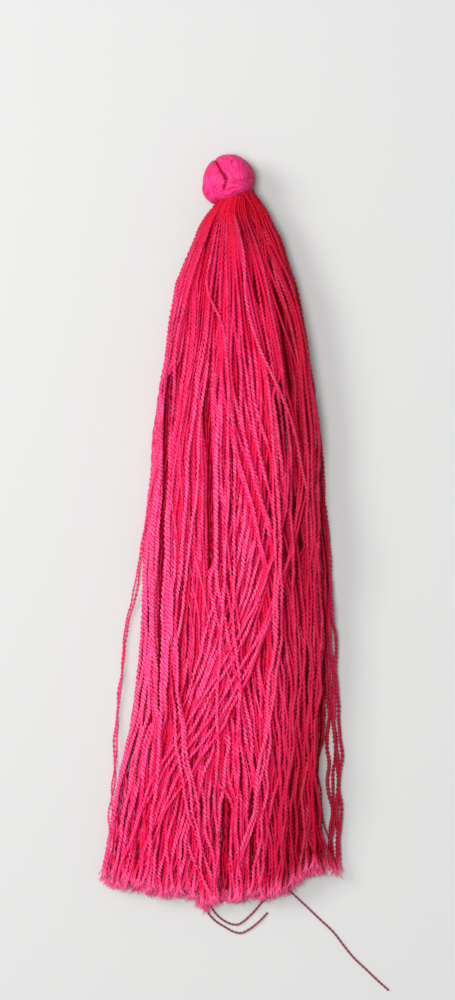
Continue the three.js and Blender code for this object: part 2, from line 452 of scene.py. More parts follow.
class Bundle:
    """Many swept threads in one mesh, each with a strip of its own in the bake map."""

    MARGIN = 0.08  # left bare at each edge of a strip, as a share of it
    APART = 7.3  # from one thread to the next in the map in millimetres

    def __init__(self, name: str, columns: int, rows: int = 1) -> None:
        """Starts an empty bundle.

        Args:
            name: The mesh's name.
            columns: How many strips lie side by side in the bake map.
            rows: How many rows of strips there are.
        """
        self.name = name
        self.columns = columns
        self.rows = rows
        self.corner_count = 0
        self.strip_count = 0
        self.corners: list[Array] = []
        self.faces: list[Array] = []
        self.bake_places: list[Array] = []
        self.thread_places: list[Array] = []
        self.marks: dict[str, list[Array]] = {}

    def add(self, rings: Array, marks: dict[str, Array]) -> None:
        """Adds a thread.

        Args:
            rings: Its corners, as an array of rings, sides and places.
            marks: What its material reads at each corner, by name, the same names for all threads.
        """
        count, sides = rings.shape[:2]
        grid = self.corner_count + np.arange(count * sides).reshape(count, sides)
        beside = np.roll(grid, -1, axis=1)
        walls = np.stack([grid[:-1], grid[1:], beside[1:], beside[:-1]], axis=-1).reshape(-1, 4)
        half = np.arange(sides // 2 - 1)
        cap = np.stack([half, half + 1, sides - 2 - half, sides - 1 - half], axis=-1)
        self.corners.append(rings.reshape(-1, 3))
        self.faces.extend([walls, grid[0][cap], grid[-1][cap[:, ::-1]]])
        self.add_places(rings, cap)
        for name, values in marks.items():
            self.marks.setdefault(name, []).append(np.broadcast_to(values, (count, sides)).ravel())
        self.corner_count += count * sides
        self.strip_count += 1

    def add_places(self, rings: Array, cap: Array) -> None:
        """Adds a thread's places in the bake map and in its own map in millimetres.

        Args:
            rings: The thread's corners.
            cap: The corners of the faces that close an end.
        """
        count, sides = rings.shape[:2]
        around = np.arange(sides + 1) / sides
        along = np.arange(count) / (count - 1)
        ring, side = np.indices((count - 1, sides)).reshape(2, -1)
        ring_at = np.stack([ring, ring + 1, ring + 1, ring], axis=-1)
        side_at = np.stack([side, side, side + 1, side + 1], axis=-1)
        walls = np.stack([around[side_at], along[ring_at]], axis=-1)
        root = np.stack([around[cap], np.zeros(cap.shape)], axis=-1)
        tip = np.stack([around[cap[:, ::-1]], np.ones(cap.shape)], axis=-1)
        places = np.concatenate([walls, root, tip])
        column, row = self.strip_count % self.columns, self.strip_count // self.columns
        share = places * (1 - 2 * self.MARGIN) + self.MARGIN
        self.bake_places.append((share + (column, row)) / (self.columns, self.rows))
        girth = np.linalg.norm(rings[count // 2] - np.roll(rings[count // 2], 1, axis=0), axis=1).sum()
        length = step_lengths(rings.mean(axis=1)).sum()
        self.thread_places.append(places * (girth, length) + (0, self.APART * self.strip_count))

    def piece(self, material: Material) -> Object:
        """Makes the mesh.

        Args:
            material: The finish of all its threads.

        Returns:
            The new object, at the origin.
        """
        mesh = bpy.data.meshes.new(self.name)
        mesh.from_pydata(np.concatenate(self.corners) * MM, [], np.concatenate(self.faces))
        for name, places in ((BAKE_MAP, self.bake_places), (THREAD_MAP, self.thread_places)):
            layer = mesh.uv_layers.new(name=name)
            layer.data.foreach_set("uv", np.concatenate(places).astype(np.float32).ravel())
        for name, values in self.marks.items():
            write_mark(mesh, name, np.concatenate(values))
        mesh.shade_smooth()
        mesh.materials.append(material)
        return put(self.name, mesh)


@dataclass
class HeadKnot:
    """The head: a ball of three bands of floss at right angles, each over the next and under the last."""

    core: float = 4.05  # radius at the foot of the creases
    crown: float = 0.5  # rise of a band's middle above its edges
    lift: float = 0.15  # rise of a band where it passes over another
    band_share: float = 0.68  # half a band's width, as a share of the radius
    height: float = 4.2  # middle of the ball above the surface
    crown_flat: float = 4.4  # from the middle to the flat at the crown
    neck_drop: float = 2.75  # from the middle to the neck, square to its plane
    neck_bulge: float = 0.7  # how far the ball bulges over the thread at the neck
    neck_tilt: float = math.radians(21)
    corner: Triple = (-0.15, 0.0, 1.0)  # where the bands meet, towards the viewer
    turns: Triple = (70.0, 190.0, 310.0)  # the bands' middles around it, in degrees
    yarns: int = 7  # side by side in a band
    yarn_round: float = 0.9  # how round the side of a yarn is
    groove: float = 0.11  # depth between two yarns
    groove_uneven: float = 0.7  # how far it differs, as a share
    wander: float = 0.13  # how far the yarns stray from a band's line, as a share of its half-width
    seam: float = 0.08  # how deep the floss sinks where two bands meet
    seam_width: float = 0.07  # as a difference in rise between the two bands
    fold: tuple[Triple, ...] = (
        (-2.6, 3.75, 0.22), (-1.45, 1.5, 0.2), (-0.55, 0.1, 0.36), (-0.55, -0.7, 0.28), (-0.95, -2.1, 0.15),
    )  # the open fold between two bands: its places across and along the tassel, and half its width there
    fold_depth: float = 0.4
    fold_steps: int = 60  # points that stand for its line
    fold_shadow: float = 1.3  # reach of the shadow on its left
    fold_ends: Pair = (-0.4, 0.0)  # height on the ball where it ends, as a share
    shadow_from: Pair = (-1.0, 1.0)  # places along it where its shadow starts and is full
    shoulder: Triple = (-0.75, -0.66, 0.0)  # where the last turn of floss stands out
    shoulder_rise: float = 0.6
    shoulder_edge: float = 0.8  # where it starts, as the cosine of the angle from its middle
    blend: float = 0.1  # how softly one band gives way to the next
    depths: Triple = (0.2, 0.9, 0.45)  # of the painted shade in seams, fold and the fold's shadow
    far_side: float = 0.5  # and on the sides away from the light
    far_right: Pair = (0.4, 1.0)  # where those sides start and are full, as cosines
    far_neck: Pair = (0.3, 0.9)
    band_apart: float = 20.0  # from one band to the next in the map of the streaks
    detail: int = 7
    finish: HeadFloss = field(default_factory=HeadFloss)

    @property
    def neck_normal(self) -> Array:
        """The direction square to the neck's plane, towards the crown."""
        return np.array([-math.sin(self.neck_tilt), math.cos(self.neck_tilt), 0.0])

    def neck_edge(self, across: float) -> float:
        """Where the neck's plane is along the tassel, at a place across it."""
        return (across * math.sin(self.neck_tilt) - self.neck_drop) / math.cos(self.neck_tilt)

    def axes(self) -> Array:
        """Finds the directions of the three bands' faces.

        Returns:
            One direction in each row.
        """
        corner = np.array(self.corner) / np.linalg.norm(self.corner)
        right = np.array([1.0, 0.0, 0.0]) - corner[0] * corner
        right /= np.linalg.norm(right)
        up = np.cross(corner, right)
        to_face = math.acos(1 / math.sqrt(3))
        turns = np.radians(self.turns)[:, None]
        around = np.cos(turns) * right + np.sin(turns) * up
        return math.cos(to_face) * corner + math.sin(to_face) * around

    def wind(self, directions: Array) -> tuple[Array, Array, Array]:
        """Finds the knot's surface in each direction from its middle.

        Args:
            directions: Unit vectors.

        Returns:
            The distance to the surface, the place on the uppermost band (across it and along it in
            millimetres, and which band it is), and how much painted shade it has in seams, the fold and the
            fold's shadow, from 0 to 1.
        """
        shares = directions @ self.axes().T
        across = shares / self.band_share
        over = np.roll(shares, 1, axis=1) ** 2
        under = np.roll(shares, -1, axis=1) ** 2
        inside = np.sqrt(np.clip(1 - across**2, 0, 1))
        rise = self.crown * inside + self.lift * (over - under) / np.maximum(over + under, 1e-9)
        rise[np.abs(across) >= 1] = 0
        band = rise.argmax(axis=1)
        at = np.arange(len(directions)), band
        turn = np.arctan2(np.roll(shares, 1, axis=1)[at], np.roll(shares, -1, axis=1)[at])
        # The yarns wander in whole waves around a band, so that they meet themselves again.
        line = across[at] + self.wander * (np.sin(3 * turn + 2 * band) + np.sin(5 * across[at] + 2 * turn))
        yarn = (line * self.yarns / 2) % 1
        sunk = 1 - np.sqrt(np.clip(1 - self.yarn_round * (2 * yarn - 1) ** 2, 0, 1))
        sunk *= 1 + self.groove_uneven * np.sin(2 * turn + 7 * across[at] + band)
        highest = np.sort(rise, axis=1)
        seam = np.exp(-(((highest[:, 2] - highest[:, 1]) / self.seam_width) ** 2))
        folded, beside = self.folds(directions)
        blended = self.blend * np.log(np.exp(np.maximum(rise, 0) / self.blend).sum(axis=1))
        radius = self.core + blended - self.groove * sunk - self.seam * seam - self.fold_depth * folded
        shoulder = np.array(self.shoulder) / np.linalg.norm(self.shoulder)
        radius += self.shoulder_rise * smoothstep(directions @ shoulder, self.shoulder_edge, 1)
        half_band = self.band_share * self.core
        wound = np.stack([line * half_band, turn * self.core, self.band_apart * band], axis=1)
        in_seam, in_fold, in_shadow = self.depths
        return radius, wound, in_seam * seam + in_fold * folded + in_shadow * beside

    def folds(self, directions: Array) -> tuple[Array, Array]:
        """Finds the open fold in the knot's upper side, and the shadow on its left.

        Args:
            directions: Unit vectors from the knot's middle.

        Returns:
            How far each one is in the fold, and how far in the shadow, from 0 to 1.
        """
        steps = np.linspace(0, len(self.fold) - 1, self.fold_steps)
        across, along, width = (np.interp(steps, range(len(self.fold)), column) for column in zip(*self.fold))
        places = directions[:, :2] * (self.core + self.crown)
        apart = np.hypot(places[:, :1] - across, places[:, 1:] - along)
        near = apart.argmin(axis=1)
        apart = apart.min(axis=1)
        upper = smoothstep(directions[:, 2], *self.fold_ends)
        left = (places[:, 0] < across[near]) * smoothstep(places[:, 1], *self.shadow_from)
        shadow = np.exp(-((apart / self.fold_shadow) ** 2))
        return upper * np.exp(-((apart / width[near]) ** 2)), upper * left * shadow

    def build(self) -> Object:
        """Winds the knot and gives it its flat spots.

        Returns:
            The head's piece.
        """
        ball = bmesh.new()
        bmesh.ops.create_icosphere(ball, subdivisions=self.detail, radius=1.0)
        mesh = bpy.data.meshes.new("head_knot")
        ball.to_mesh(mesh)
        ball.free()
        directions = np.empty(len(mesh.vertices) * 3, np.float32)
        mesh.vertices.foreach_get("co", directions)
        directions = directions.reshape(-1, 3).astype(float)
        directions /= np.linalg.norm(directions, axis=1, keepdims=True)
        radius, wound, painted_shade = self.wind(directions)
        # painted shade on the sides away from the light: the right and towards the neck
        away = smoothstep(directions[:, 0], *self.far_right)
        away += smoothstep(directions @ -self.neck_normal, *self.far_neck)
        painted_shade += self.far_side * away
        places = directions * radius[:, None]
        past_neck = np.maximum(-self.neck_drop - places @ self.neck_normal, 0)
        bulge = self.neck_bulge * (1 - np.exp(-past_neck / self.neck_bulge))
        places += (past_neck - bulge)[:, None] * self.neck_normal
        places[:, 1] = np.minimum(places[:, 1], self.crown_flat)
        places[:, 2] = np.maximum(places[:, 2] + self.height, 0)
        mesh.vertices.foreach_set("co", (places * MM).astype(np.float32).ravel())
        write_mark(mesh, "wound", wound)
        write_mark(mesh, "painted_shade", painted_shade)
        mesh.shade_smooth()
        mesh.update()
        mesh.materials.append(self.finish.material())
        piece = put("head_knot", mesh)
        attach(piece, "root")
        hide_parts("head")
        return piece


@dataclass(frozen=True)
class Section:
    """A cross-section of the skirt."""

    along: float  # from the neck
    left: float  # reach of the threads to each side of the axis
    right: float
    swell: float  # size of a thread, as a share of its full one
    layer: float  # how high a thread lies above the one under it
    settled: float  # how far the round bundle has settled into a flat heap
    fan: float  # how far the threads have fanned out towards the sides
    gather: float  # how strongly they gather into locks
    sway: float  # and where


SECTIONS = (
    Section(0, 3.5, 3.5, 0.7, 0.3, 0, 0, 0, 0),
    Section(2, 4.3, 7.0, 0.8, 0.3, 0.2, 0.05, 0, 0.1),
    Section(6, 6.1, 9.2, 0.95, 0.24, 0.5, 0.1, 0.05, 0.2),
    Section(14, 9.4, 11.7, 1, 0.24, 1, 0.2, 0.15, 0.6),
    Section(32, 12.3, 15.0, 1, 0.32, 1, 0.3, 0.3, 1.4),
    Section(54, 14.6, 16.2, 1, 0.42, 1, 0.35, 0.35, 2.3),
    Section(77, 15.4, 17.4, 1, 0.42, 1, 0.35, 0.35, 3.2),
    Section(90, 16.7, 16.4, 1, 0.4, 1, 0.35, 0.3, 3.6),
    Section(101, 19.2, 15.4, 1, 0.38, 1, 0.35, 0.3, 4.0),
    Section(126, 23.6, 17.6, 0.9, 0.3, 1, 0.3, 0.3, 4.6),
)


@dataclass(frozen=True)
class LooseLock:
    """Threads that lie on the bundle or stray from its sides."""

    threads: int
    neck: float  # place of the middle one at the neck, as a share of the bundle
    hem: float  # and at the hem
    start: float  # where along the skirt they cross over
    end: float
    spread: float  # how far apart the outer ones end


LOOSE = (
    LooseLock(9, 0.38, -11.5, 44, 122, 7.5),
    LooseLock(4, -0.12, 5.5, 58, 112, 4),
    LooseLock(4, 0.86, 18.6, 24, 96, 2.0),
)


@dataclass(frozen=True)
class TopLock:
    """Threads that lie together on top of the bundle, along a line of their own."""

    threads: int
    width: float
    line: tuple[Pair, ...]  # distance from the neck, and place across the skirt
    size: float = 1.0  # of a thread, as a share of its full one
    bright: float = 0.0  # least share of painted light, which keeps it lighter than the shade around it


TOP_LOCKS = (
    TopLock(8, 5.5, (
        (0, 0.4), (14, 0.8), (30, 1.2), (40, 2.6), (50, 5.6), (63, 9.0), (80, 10.6), (126, 11.0),
    )),
    TopLock(5, 6.0, (
        (0, 1.8), (14, 6.5), (40, 12.0), (62, 9.5), (75, 5.0), (86, -1.0), (103, -12.0), (126, -19.0),
    )),
    TopLock(3, 1.2, ((0, 0.5), (40, 8.0), (87, 7.2), (107, 5.0), (119, 2.0), (126, 0.8))),
    TopLock(3, 1.6, ((0, -1.0), (40, -6.0), (86, -9.0), (107, -6.2), (119, -3.6), (126, -2.6))),
    TopLock(1, 0.0, ((0, -2.0), (20, -8.5), (40, -10.6), (60, -10.9), (80, -11.6), (126, -15.5))),
    TopLock(1, 0.0, ((0, -0.1), (5, -0.5), (15, -0.4), (30, 0.3), (60, 1.0), (126, 2.0)), bright=0.6),
    TopLock(1, 0.0, (
        (0, 2.0), (7.5, 5.0), (14, 6.9), (20, 8.1), (30, 9.3), (60, 11.5), (126, 9.0),
    ), bright=0.5),
    TopLock(2, 1.2, (
        (0, 2.7), (6, 6.4), (13, 8.5), (18, 10.3), (25, 12.0), (40, 14.2), (77, 15.6), (126, 13.5),
    ), bright=0.5),
    TopLock(1, 0.0, (
        (0, 0.6), (9, 2.5), (15, 2.8), (24, 5.1), (30, 8.5), (37, 11.3), (46, 13.5), (60, 14.6), (126, 12),
    ), bright=0.7),
    TopLock(1, 0.0, (
        (0, -1.2), (8, -3.0), (14, -3.7), (20, -0.9), (26, -0.2), (50, -0.6), (126, -3.0),
    ), bright=0.7),
    TopLock(2, 1.0, (
        (0, -2.9), (14, -8), (40, -12), (60, -15.4), (70, -17), (80, -18.4), (101, -20.6), (126, -22),
    ), size=0.55, bright=0.9),
    TopLock(4, 2.4, (
        (0, 3.0), (14, 10.6), (32, 13.6), (77, 15.0), (101, 14.6), (110, 15.4), (119, 18.0), (126, 20.0),
    )),
)


@dataclass(frozen=True)
class Valley:
    """A gap between locks, where the threads on top stand aside and the deep ones show."""

    width: float
    line: tuple[Pair, ...]  # distance from the neck, and place across the skirt
    ends: float = 5.0  # length over which it opens and closes

    def opening(self, along: Array) -> tuple[Array, Array]:
        """Where the gap is, and how far it is open there.

        Args:
            along: Distances from the neck.

        Returns:
            The gap's middle across the skirt, and a share from 0 to 1.
        """
        knots, across = np.array(self.line).T
        opened = smoothstep(along, knots[0] - self.ends, knots[0])
        closed = smoothstep(-along, -knots[-1] - self.ends, -knots[-1])
        return np.interp(along, knots, across), opened * closed


VALLEYS = (
    Valley(0.7, ((3, 4.1), (9, 4.5), (15, 4.8))),
    Valley(0.9, ((11, 7.8), (17, 8.6), (24, 9.0), (32, 10.4))),
    Valley(0.6, ((32, -11.3), (52, -11.3), (66, -11.6), (88, -12.2))),
    Valley(0.7, ((34, -4.6), (48, -3.2), (62, -3.0))),
    Valley(0.5, ((37, 0.7), (49, 0.9))),
    Valley(0.9, ((34, 8.6), (48, 10.4), (60, 12.4))),
    Valley(0.6, ((76, 6.2), (82, 5.8))),
    Valley(0.7, ((77, 14.0), (90, 13.8), (104, 13.2))),
    Valley(1.1, ((106, -0.4), (114, -0.8), (126, -1.4))),
    Valley(0.8, ((106, 4.4), (118, 4.2))),
)


@dataclass(frozen=True)
class Zone:
    """A part of the skirt with painted shade, with soft edges."""

    share: float  # how much painted shade
    along: Pair | None = None  # distances from the neck where it starts and is full
    across: Pair | None = None  # and places across the skirt

    def depth(self, across: Array, along: Array) -> Array:
        """How much painted shade there is at places on the skirt.

        Args:
            across: Places across the skirt.
            along: The places' distances from the neck.

        Returns:
            A share for each place.
        """
        depth = np.full(len(across), self.share)
        for places, edges in ((along, self.along), (across, self.across)):
            if edges:
                depth = depth * smoothstep(places, *edges)
        return depth


def zone_shade(zones: tuple[Zone, ...], across: Array, along: Array) -> Array:
    """How much painted shade several zones give together, at places on the skirt."""
    return sum(zone.depth(across, along) for zone in zones)


SHADED = (
    Zone(0.9, across=(3, 14)),
    Zone(0.4, along=(50, 10)),
    Zone(0.42, along=(16, 0)),
    Zone(0.3, along=(85, 115), across=(-10, 0)),
    Zone(0.5, along=(12, 0), across=(0, 4)),
)  # the right side, the neck and the lower middle, where less light comes
UNLIT_NECK = (Zone(0.7, along=(50, 5)),)  # painted shade towards the neck, with less of the lighter colour
UNLIT_SIDES = (Zone(0.3, along=(75, 115)), Zone(0.45, across=(3, 14)))  # and painted shade towards the hem and on the right, away from the light
UNDER_HEAD = (Zone(0.7, along=(5, 0)),)  # painted shade under the head, where the gaps' painted red light covers whole threads


@dataclass
class Thread:
    """One thread of the skirt: its place in the neck and its lay at each station."""

    share: float
    up: float
    path: Array
    shows: bool = True  # it lies on top, so its twist is drawn finely
    lock: int = -1  # number of the lock that it is laid with, side by side
    size: float = 1.0  # as a share of a full thread's
    bright: float = 0.0  # least share of painted light, which keeps it lighter than the shade around it
    heights: Array = field(default_factory=lambda: np.zeros(0))
    depths: Array = field(default_factory=lambda: np.zeros(0))  # under the threads beside it


@dataclass
class TieEnds:
    """Ends of the tying thread, on the surface: straight under the skirt to its hem, and free from there."""

    diameter: float = 0.45
    start: float = 103.0  # along the skirt
    hem: float = 120.0
    hidden_steps: int = 5  # under the skirt
    twist: Twist = Twist(width=0.45, waist=0.7, turn=1.5, sides=8, steps=8)
    finish: TieThread = field(default_factory=TieThread)

    ACROSS = {
        "tie_end_long": (6.9, 9.9),
        "tie_end_hook": (-5.5, -4.9),
        "tie_end_bend": (-4.6, -4.0),
    }  # places across the skirt at the start and at the hem
    FREE = {
        "tie_end_long": (
            (10.6, -125.2), (11.9, -126.5), (13.7, -128.2), (16.0, -130.4), (18.6, -132.9), (20.2, -135.0),
            (21.9, -137.1), (24.1, -139.2), (26.3, -141.3), (28.2, -143.0),
        ),
        "tie_end_hook": (
            (-4.7, -126.4), (-4.0, -128.8), (-2.7, -130.5), (-0.6, -131.9), (0.9, -132.7), (2.1, -132.9),
            (3.3, -132.4), (4.7, -131.4), (5.8, -130.4), (6.8, -129.3),
        ),
        "tie_end_bend": (
            (-3.8, -126.2), (-3.2, -128.1), (-2.3, -129.5), (-0.9, -130.7), (0.4, -131.3), (1.5, -131.4),
            (2.6, -130.8), (3.6, -129.9), (4.7, -128.8), (5.8, -127.5), (6.9, -126.4),
        ),
    }  # points past the hem, across and along the tassel

    def across(self, name: str, along: Array) -> Array:
        """The place of an end across the skirt, at distances along it."""
        low, high = self.ACROSS[name]
        return low + (high - low) * (along - self.start) / (self.hem - self.start)

    def paths(self, stations: Array) -> Array:
        """Each end's place across the skirt, but for the stations that it doesn't come near.

        Args:
            stations: Distances along the skirt.

        Returns:
            One row of places for each end.
        """
        near = stations >= self.start - (stations[1] - stations[0])
        return np.array([np.where(near, self.across(name, stations), np.nan) for name in self.ACROSS])

    def route(self, name: str) -> Array:
        """The points that an end follows.

        Args:
            name: The end's name.

        Returns:
            The points, from under the skirt to the free end.
        """
        hidden = np.linspace(self.start, self.hem, self.hidden_steps + 1)
        points = [(self.across(name, along), NECK_Y - along) for along in hidden]
        return np.array([(x, y, self.diameter / 2) for x, y in (*points, *self.FREE[name])])

    def build(self) -> list[Object]:
        """Returns:
            The ends' pieces.
        """
        material = self.finish.material()
        pieces = []
        for name in self.ACROSS:
            points = self.route(name)
            knots = np.concatenate([[0], np.cumsum(step_lengths(points))])
            rings = int(knots[-1] / self.twist.ring_step) + 1
            spine = smooth_through(knots, points, np.linspace(0, knots[-1], rings))
            bundle = Bundle(name + "_thread", 1)
            bundle.add(self.twist.sweep(spine, np.ones(rings), 0), {"groove": self.twist.grooves()})
            piece = bundle.piece(material)
            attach(piece, "root")
            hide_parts(name)
            float(step_lengths(spine).sum() * MM)
            [tuple(point) for point in spine * MM]
            pieces.append(piece)
        return pieces


@dataclass(frozen=True)
class Wave:
    """A sideways wave in the threads, which starts elsewhere on each."""

    size: float
    length: float
    root: int  # of the scatter of its starts
    uneven: float = 0.0  # how far its length differs, as a share
    length_root: int = 2  # of the scatter of its lengths

    def at(self, places: Array, number: int) -> Array:
        """How far a thread is moved across.

        Args:
            places: Distances along the skirt.
            number: The thread's number.

        Returns:
            A distance for each place.
        """
        length = self.length * (1 + self.uneven * scatter(number, self.length_root))
        return self.size * np.sin(TAU * (places / length + scatter(number, self.root)))


@dataclass(frozen=True)
class ToneAndShade:
    """How a thread's colour changes along it: its own uneven tone, painted shade by what lies above and
    beside it, a painted highlight on its plies and painted red light in its grooves.
    """

    light: float = 0.78  # share of the lighter colour, in full light
    uneven: float = 0.15  # how far it differs from thread to thread
    lock_uneven: float = 0.25  # and from lock to lock
    least: float = 0.1  # what is left of it deep under other threads, in their painted shade
    levels: float = 1.7  # how many threads above one take two thirds of it, as painted shade
    left_edge: Pair = (0.65, 0.92)  # shares of the left reach where the light comes back
    sunken: float = 0.8  # how much less of it there is in a valley, as painted shade
    sunken_shade: float = 0.3  # and how much painted shade it has there
    mottle: float = 0.4  # how far it differs along a thread
    mottle_waves: Pair = (2.3, 0.9)  # two waves that make it do so, in radians a millimetre
    mottle_shift: float = 9.0  # how far the waves move from thread to thread
    ridge: float = 1.35  # how much more of it there is on the plies, as a painted highlight
    ridge_fall: float = 0.75  # and how much less in their grooves, as painted shade
    ply_groove: float = 0.85  # how much of the painted red light the groove between plies takes
    flank: float = 0.45  # how far down a thread's side the painted red light of the gaps is full, as a share of its width
    tip: float = 0.45  # how pale a cut end is
    tip_length: float = 2.5


@dataclass(frozen=True)
class Fray:
    """The tuft of filaments at a thread's cut end."""

    filaments: int = 9
    strand: Twist = Twist(width=0.23, waist=0.9, turn=3.0, sides=4)
    points: int = 4  # along a filament, and at the thread's end, whose direction it takes
    length: float = 1.5  # of the longest
    mean: float = 0.65  # share of it that they have in the mean
    uneven: float = 0.35
    leans: Triple = (1.0, 0.15, 0.6)  # how far they lean across, along and up
    inside: float = 0.5  # how far inside the thread they start
    spread: float = 0.26  # how far apart they start
    bend: float = 0.55  # how far they bend to where they lean, as a share of their length
    taper: float = 0.6  # how much thinner they are at the tip
    lowest: float = 0.085  # above the surface
    light: float = 0.7  # share of the lighter colour
    light_uneven: float = 0.25
    shaded: float = 0.6  # how much of the skirt's shade they have
    pale: Pair = (0.4, 0.45)  # how pale they are at the root, and how much more at the tip

    def add(self, tuft: Bundle, spine: Array, order: int) -> None:
        """Frays a thread's cut end.

        Args:
            tuft: The bundle that the filaments go to.
            spine: The thread's middle line.
            order: Its place in the order of laying.
        """
        ahead = spine[-1] - spine[-self.points]
        ahead /= np.linalg.norm(ahead)
        steps = np.linspace(0, 1, self.points)
        first = order * self.filaments + 1
        for key in range(first, first + self.filaments):
            lean = np.array(self.leans) * [scatter(key, root) for root in (2, 3, 5)]
            start = spine[-1] - self.inside * ahead + lean * self.spread
            length = self.length * (self.mean + self.uneven * scatter(key, 7))
            bend = lean * self.bend * length
            line = start + np.outer(steps, ahead * length) + np.outer(steps**2, bend)
            line[:, 2] = np.maximum(line[:, 2], self.lowest)
            rings = self.strand.sweep(line, 1 - self.taper * steps, scatter(key, 11))
            tint = np.full((1, 1), self.light + self.light_uneven * scatter(key, 13))
            shade = self.shaded * np.clip(zone_shade(SHADED, line[:, 0], NECK_Y - line[:, 1]), 0, 1)
            pale = self.pale[0] + self.pale[1] * steps
            marks = {"tint": tint, "groove": 0 * tint, "shade": shade[:, None], "fray": pale[:, None]}
            tuft.add(rings, marks)


@dataclass
class Skirt:
    """The skirt: threads that are laid one on another from the surface up, from the neck to the cut hem."""

    head: HeadKnot
    ties: TieEnds
    stations: Array = field(default_factory=lambda: np.linspace(0, SECTIONS[-1].along, 64))
    groups: int = 6  # pieces that the skirt is parted into, from left to right
    twist: Twist = Twist(width=0.82, waist=0.56, turn=1.45, sides=4, steps=6, slack=1.6)
    plain_twist: Twist = Twist(width=0.76, waist=0.8, turn=9.0, sides=4, steps=6)
    uneven: float = 0.14  # how far the threads' sizes and turns differ
    # the threads' own tone, with painted light and shade
    tone_and_shade: ToneAndShade = ToneAndShade()
    fray: Fray = Fray()
    finish: SkirtThread = field(default_factory=SkirtThread)

    bed: int = 105  # threads of the main bundle
    locks: int = 6  # that they gather into
    gather: float = 1.6  # how strongly, where the sections let them
    layer_shift: float = 0.8  # turn of the locks from the bundle's middle to its top
    small_locks: int = 19
    small_gather: float = 0.75
    small_sway: float = 0.06  # turn of the small locks along the skirt, for a millimetre
    small_shift: float = 2.0

    under: int = 60  # threads under the bundle, on the surface
    under_reach: float = 0.97
    under_level: float = -1.2  # below all of the bundle, so that they are laid first
    under_mix: float = 0.01  # mixes the order in which they are laid
    under_stray: float = 0.5  # how far they stray, as a share of what the lowest of the bundle do

    face_locks: int = 12  # locks that lie over the bundle
    face_threads: int = 8  # side by side in each
    face_pitch: float = 0.5
    face_levels: Pair = (0.75, 0.2)  # their mean height in the neck, and how far it differs
    face_root: float = 0.9  # how far across the neck they reach
    face_root_step: float = 0.04  # from one thread's root to the next
    face_opens: float = 20.0  # distance from the neck where their threads lie a full pitch apart
    face_own: float = 0.4  # share of its own stray that a thread follows near the neck
    face_loosens: Pair = (50.0, 105.0)  # where its threads go their own ways
    face_stray: Pair = (0.4, 0.5)  # place in the neck that their strays go by
    face_wave: Wave = Wave(1.0, 90.0, 2, 0.25, 10)
    hem_open: float = 0.3  # how much further apart they lie at the hem
    hem_opens: Pair = (80.0, 126.0)

    wisps: int = 16  # single threads over the locks, every other one thin
    wisp_reach: float = 0.9
    wisp_thin: float = 0.5
    wisp_wave: Wave = Wave(3.2, 80.0, 2, 0.3, 10)
    wisp_frees: Pair = (8.0, 70.0)  # where they start to wave, and wave fully
    wisp_stray: Pair = (0.4, 1.0)  # place in the neck that their strays go by

    loose_step: float = 0.07
    slide: float = 6.0  # how far along the skirt the turns of a top lock's threads are apart
    root_open: float = 0.3  # how far apart a lock's threads lie at the neck, as a share

    root_radius: float = 3.1
    root_swell: float = 0.7
    root_room: float = 3.0  # from a thread's root to the first station that it follows
    neck_gap: float = 0.05  # from the head to the threads' roots
    pitch: float = 0.5  # room that a laid thread takes up
    gap: float = 0.3  # more room beside and above a tie end
    span: int = 6  # stations that a thread spans where those under it dip
    shade_reach: float = 0.9  # how far beside a thread those that lie higher shade it

    calm_above: float = 30.0  # threads wave less from here up to the neck
    drift: float = 3.2  # how far threads on top stray sideways by the hem
    drift_from: float = 40.0
    drift_depth: float = 0.5  # threads this far below the neck's middle stay in line
    waves: tuple[Wave, Wave] = (Wave(0.35, 52.0, 5, 0.3, 19), Wave(0.14, 19.0, 7, 0.3, 21))  # of each thread
    curl: Wave = Wave(0.28, 13.0, 23, 0.35, 29)  # towards the hem
    curl_from: float = 40.0
    kinks: tuple[Wave, Wave] = (Wave(0.04, 4.3, 43), Wave(0.04, 7.1, 47))  # left by a thread's winding
    kinks_from: Pair = (15.0, 70.0)
    hem_curl: Wave = Wave(0.3, 9.0, 53)
    hem_curls_from: Pair = (112.0, 123.0)
    hem_uneven: float = 0.9

    FACE_STRAYS, TOP_STRAYS, WISP_STRAYS = 90, 50, 200  # numbers that their strays count from
    FACE_STEP = 7  # from one lock's numbers to the next one's
    HEM = (
        (-23.4, 118.2), (-18.0, 120.0), (-12.0, 120.9), (-7.0, 121.3), (-4.4, 124.0), (-2.4, 121.9),
        (1.6, 122.0), (4.0, 121.2), (6.0, 121.8), (11.5, 119.3), (13.2, 117.4), (19.6, 117.2),
    )  # place across the skirt, and how far from the neck the threads reach there

    def column(self, name: str) -> Array:
        """A value of the cross-sections, at each station."""
        along = [section.along for section in SECTIONS]
        return np.interp(self.stations, along, [getattr(section, name) for section in SECTIONS])

    def side(self, share: float) -> Array:
        """The reach of the skirt at each station, on the side where a thread lies."""
        return self.column("left" if share < 0 else "right")

    def fanned(self, share: float) -> Array:
        """A thread's place as the skirt fans out, as a share of its reach, at each station."""
        return share * (1 + self.column("fan") * (1 - share**2))

    @property
    def calm(self) -> Array:
        """How freely threads wave at each station: not at all at the neck."""
        return np.clip(self.stations / self.calm_above, 0, 1)

    @staticmethod
    def on_top(share: float) -> float:
        """The height in the neck of a thread on top, at a place across it."""
        return math.sqrt(1 - min(1, share**2))

